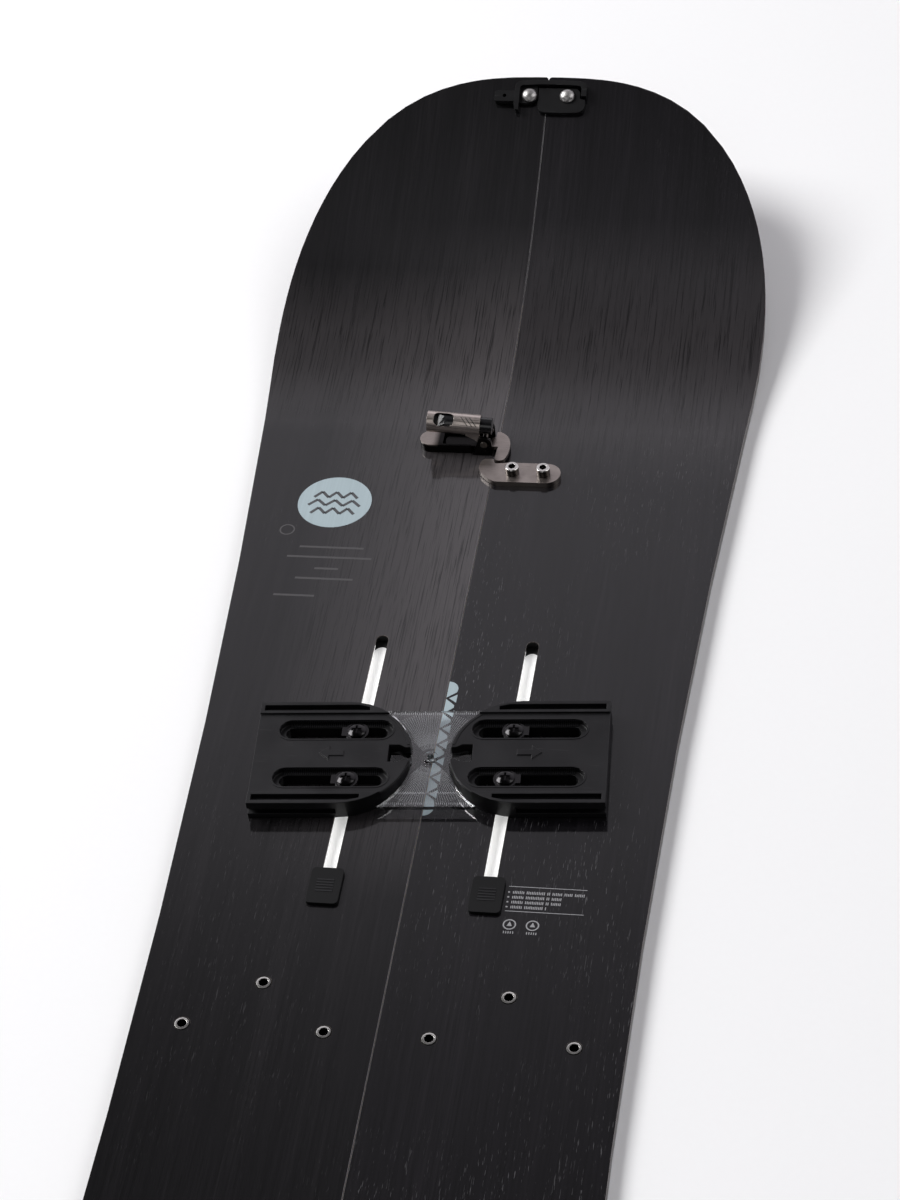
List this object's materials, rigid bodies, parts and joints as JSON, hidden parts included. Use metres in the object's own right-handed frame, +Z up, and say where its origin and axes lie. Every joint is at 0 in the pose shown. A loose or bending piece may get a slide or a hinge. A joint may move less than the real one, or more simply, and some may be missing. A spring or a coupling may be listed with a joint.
{
  "type": "splitboard",
  "caption": "Splitboard that parts along its centre seam into two skis, with tip clips, lever joiners, binding pucks on open channels and clear alignment guides.",
  "frame": {"origin": "middle of the length, on the seam, at the height of the running base", "axes": "+Y along the seam to the nose, +X across to the right half, +Z up out of the topsheet"},
  "size_m": [0.302, 1.58, 0.0805],
  "materials": {
    "topsheet": "black stained veneer under clear gloss",
    "core": "laminated wood core",
    "base": "sintered black base",
    "edge_steel": "ground steel",
    "sidewall": "dark moulded sidewall",
    "spacer": "plum plastic",
    "track": "white moulded track",
    "rubber": "matte rubber",
    "black_steel": "black zinc screws, washers and bar nut",
    "stainless": "polished stainless",
    "nickel": "black nickel plate",
    "clip_plastic": "black moulded nylon",
    "puck_plastic": "black glass-filled nylon",
    "clear": "clear moulded plastic"
  },
  "bodies": {
    "board": {"left_topsheet": "topsheet", "left_core": "core", "left_base": "base", "left_steel_edge": "edge_steel", "left_sidewall": "sidewall", "left_nose_spacer": "spacer", "left_tail_spacer": "spacer", "left_front_channel_track": "track", "left_rear_channel_track": "track", "left_front_channel_plug": "rubber", "left_rear_channel_plug": "rubber", "left_touring_insert_1": "stainless", "left_touring_insert_2": "stainless", "left_touring_insert_3": "stainless", "right_topsheet": "topsheet", "right_core": "core", "right_base": "base", "right_steel_edge": "edge_steel", "right_sidewall": "sidewall", "right_nose_spacer": "spacer", "right_tail_spacer": "spacer", "right_front_channel_track": "track", "right_rear_channel_track": "track", "right_front_channel_plug": "rubber", "right_rear_channel_plug": "rubber", "right_touring_insert_1": "stainless", "right_touring_insert_2": "stainless", "right_touring_insert_3": "stainless", "nose_clip_lever_rivet": "stainless", "tail_clip_keeper": "clip_plastic", "tail_clip_keeper_rivet": "stainless", "front_joiner_base": "nickel", "front_joiner_pin": "stainless", "rear_joiner_base": "nickel", "rear_joiner_pin": "stainless", "nose_clip_keeper": "clip_plastic", "nose_clip_keeper_rivet": "stainless", "tail_clip_lever_rivet": "stainless", "front_joiner_catch": "nickel", "front_catch_bolts": "stainless", "rear_joiner_catch": "nickel", "rear_catch_bolts": "stainless"},
    "nose_lever": {"nose_clip_lever": "clip_plastic"},
    "tail_lever": {"tail_clip_lever": "clip_plastic"},
    "front_hook": {"front_joiner_hook": "nickel"},
    "rear_hook": {"rear_joiner_hook": "nickel"},
    "front_lever": {"front_joiner_lever": "nickel"},
    "rear_lever": {"rear_joiner_lever": "nickel"},
    "front_slider": {"front_joiner_slider": "clip_plastic"},
    "rear_slider": {"rear_joiner_slider": "clip_plastic"},
    "front_guide_plate": {"front_guide": "clear"},
    "rear_guide_plate": {"rear_guide": "clear"},
    "left_front_puck_set": {"left_front_puck": "puck_plastic", "left_front_puck_clamp": "black_steel"},
    "right_front_puck_set": {"right_front_puck": "puck_plastic", "right_front_puck_clamp": "black_steel"},
    "left_rear_puck_set": {"left_rear_puck": "puck_plastic", "left_rear_puck_clamp": "black_steel"},
    "right_rear_puck_set": {"right_rear_puck": "puck_plastic", "right_rear_puck_clamp": "black_steel"}
  },
  "joints": [
    {"name": "nose_clip_swing", "type": "hinge", "parent": "board", "child": "nose_lever", "pos_m": [-0.011, 0.7758, 0.07124], "axis": [0, -0.4247, 0.9053], "range_deg": [0, 58]},
    {"name": "tail_clip_swing", "type": "hinge", "parent": "board", "child": "tail_lever", "pos_m": [0.011, -0.7758, 0.05398], "axis": [0, 0.3567, 0.9342], "range_deg": [0, 58]},
    {"name": "front_lever_turn", "type": "hinge", "parent": "board", "child": "front_lever", "pos_m": [-0.0065, 0.5073, 0.0164], "axis": [0, 1, 0], "range_deg": [0, 86]},
    {"name": "front_hook_slide", "type": "slide", "parent": "board", "child": "front_hook", "axis": [1, 0, 0], "range_m": [0, 0.0047]},
    {"name": "front_slider_press", "type": "slide", "parent": "front_lever", "child": "front_slider", "axis": [-0.9976, 0, 0.0698], "range_m": [0, 0.0018], "stiffness_N_per_m": 300, "springref_m": -0.003},
    {"name": "left_front_puck_shift", "type": "slide", "parent": "board", "child": "left_front_puck_set", "axis": [0, 1, 0], "range_m": [-0.03, 0.06]},
    {"name": "right_front_puck_shift", "type": "slide", "parent": "board", "child": "right_front_puck_set", "axis": [0, 1, 0], "range_m": [-0.03, 0.06]},
    {"name": "front_guide_lift", "type": "slide", "parent": "left_front_puck_set", "child": "front_guide_plate", "axis": [0, 0, 1], "range_m": [0, 0.08]},
    {"name": "rear_lever_turn", "type": "hinge", "parent": "board", "child": "rear_lever", "pos_m": [-0.0065, -0.5115, 0.0164], "axis": [0, 1, 0], "range_deg": [0, 86]},
    {"name": "rear_hook_slide", "type": "slide", "parent": "board", "child": "rear_hook", "axis": [1, 0, 0], "range_m": [0, 0.0047]},
    {"name": "rear_slider_press", "type": "slide", "parent": "rear_lever", "child": "rear_slider", "axis": [-0.9976, 0, 0.0698], "range_m": [0, 0.0018], "stiffness_N_per_m": 300, "springref_m": -0.003},
    {"name": "left_rear_puck_shift", "type": "slide", "parent": "board", "child": "left_rear_puck_set", "axis": [0, 1, 0], "range_m": [-0.03, 0.06]},
    {"name": "right_rear_puck_shift", "type": "slide", "parent": "board", "child": "right_rear_puck_set", "axis": [0, 1, 0], "range_m": [-0.03, 0.06]},
    {"name": "rear_guide_lift", "type": "slide", "parent": "left_rear_puck_set", "child": "rear_guide_plate", "axis": [0, 0, 1], "range_m": [0, 0.08]}
  ],
  "couplings": [
    {"joint": "front_hook_slide", "follows": "front_lever_turn", "m_per_rad": 0.003065},
    {"joint": "right_front_puck_shift", "follows": "left_front_puck_shift", "ratio": 1},
    {"joint": "rear_hook_slide", "follows": "rear_lever_turn", "m_per_rad": 0.003065},
    {"joint": "right_rear_puck_shift", "follows": "left_rear_puck_shift", "ratio": 1}
  ]
}
